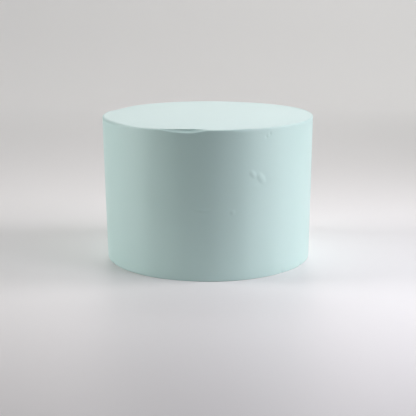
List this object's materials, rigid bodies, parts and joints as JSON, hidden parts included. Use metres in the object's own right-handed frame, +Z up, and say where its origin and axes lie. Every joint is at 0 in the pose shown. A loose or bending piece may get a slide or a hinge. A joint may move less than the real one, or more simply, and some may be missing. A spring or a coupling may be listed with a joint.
{
  "type": "layer cake",
  "caption": "Tall round layer cake, smoothly iced all over in pale mint, with a flat top, a sharp rim with a small chip in it, and faint scraper marks round the side.",
  "frame": {"origin": "middle of the flat base, on the surface that the cake stands on", "axes": "+Z up through the middle of the cake, -Y towards the front, where the chip in the rim is, +X to the right as seen from the front"},
  "size_m": [0.2091, 0.2092, 0.1431],
  "materials": {
    "icing": "satin mint buttercream, smoothed with a scraper"
  },
  "bodies": {
    "root": {"iced_cake": "icing"}
  },
  "joints": []
}
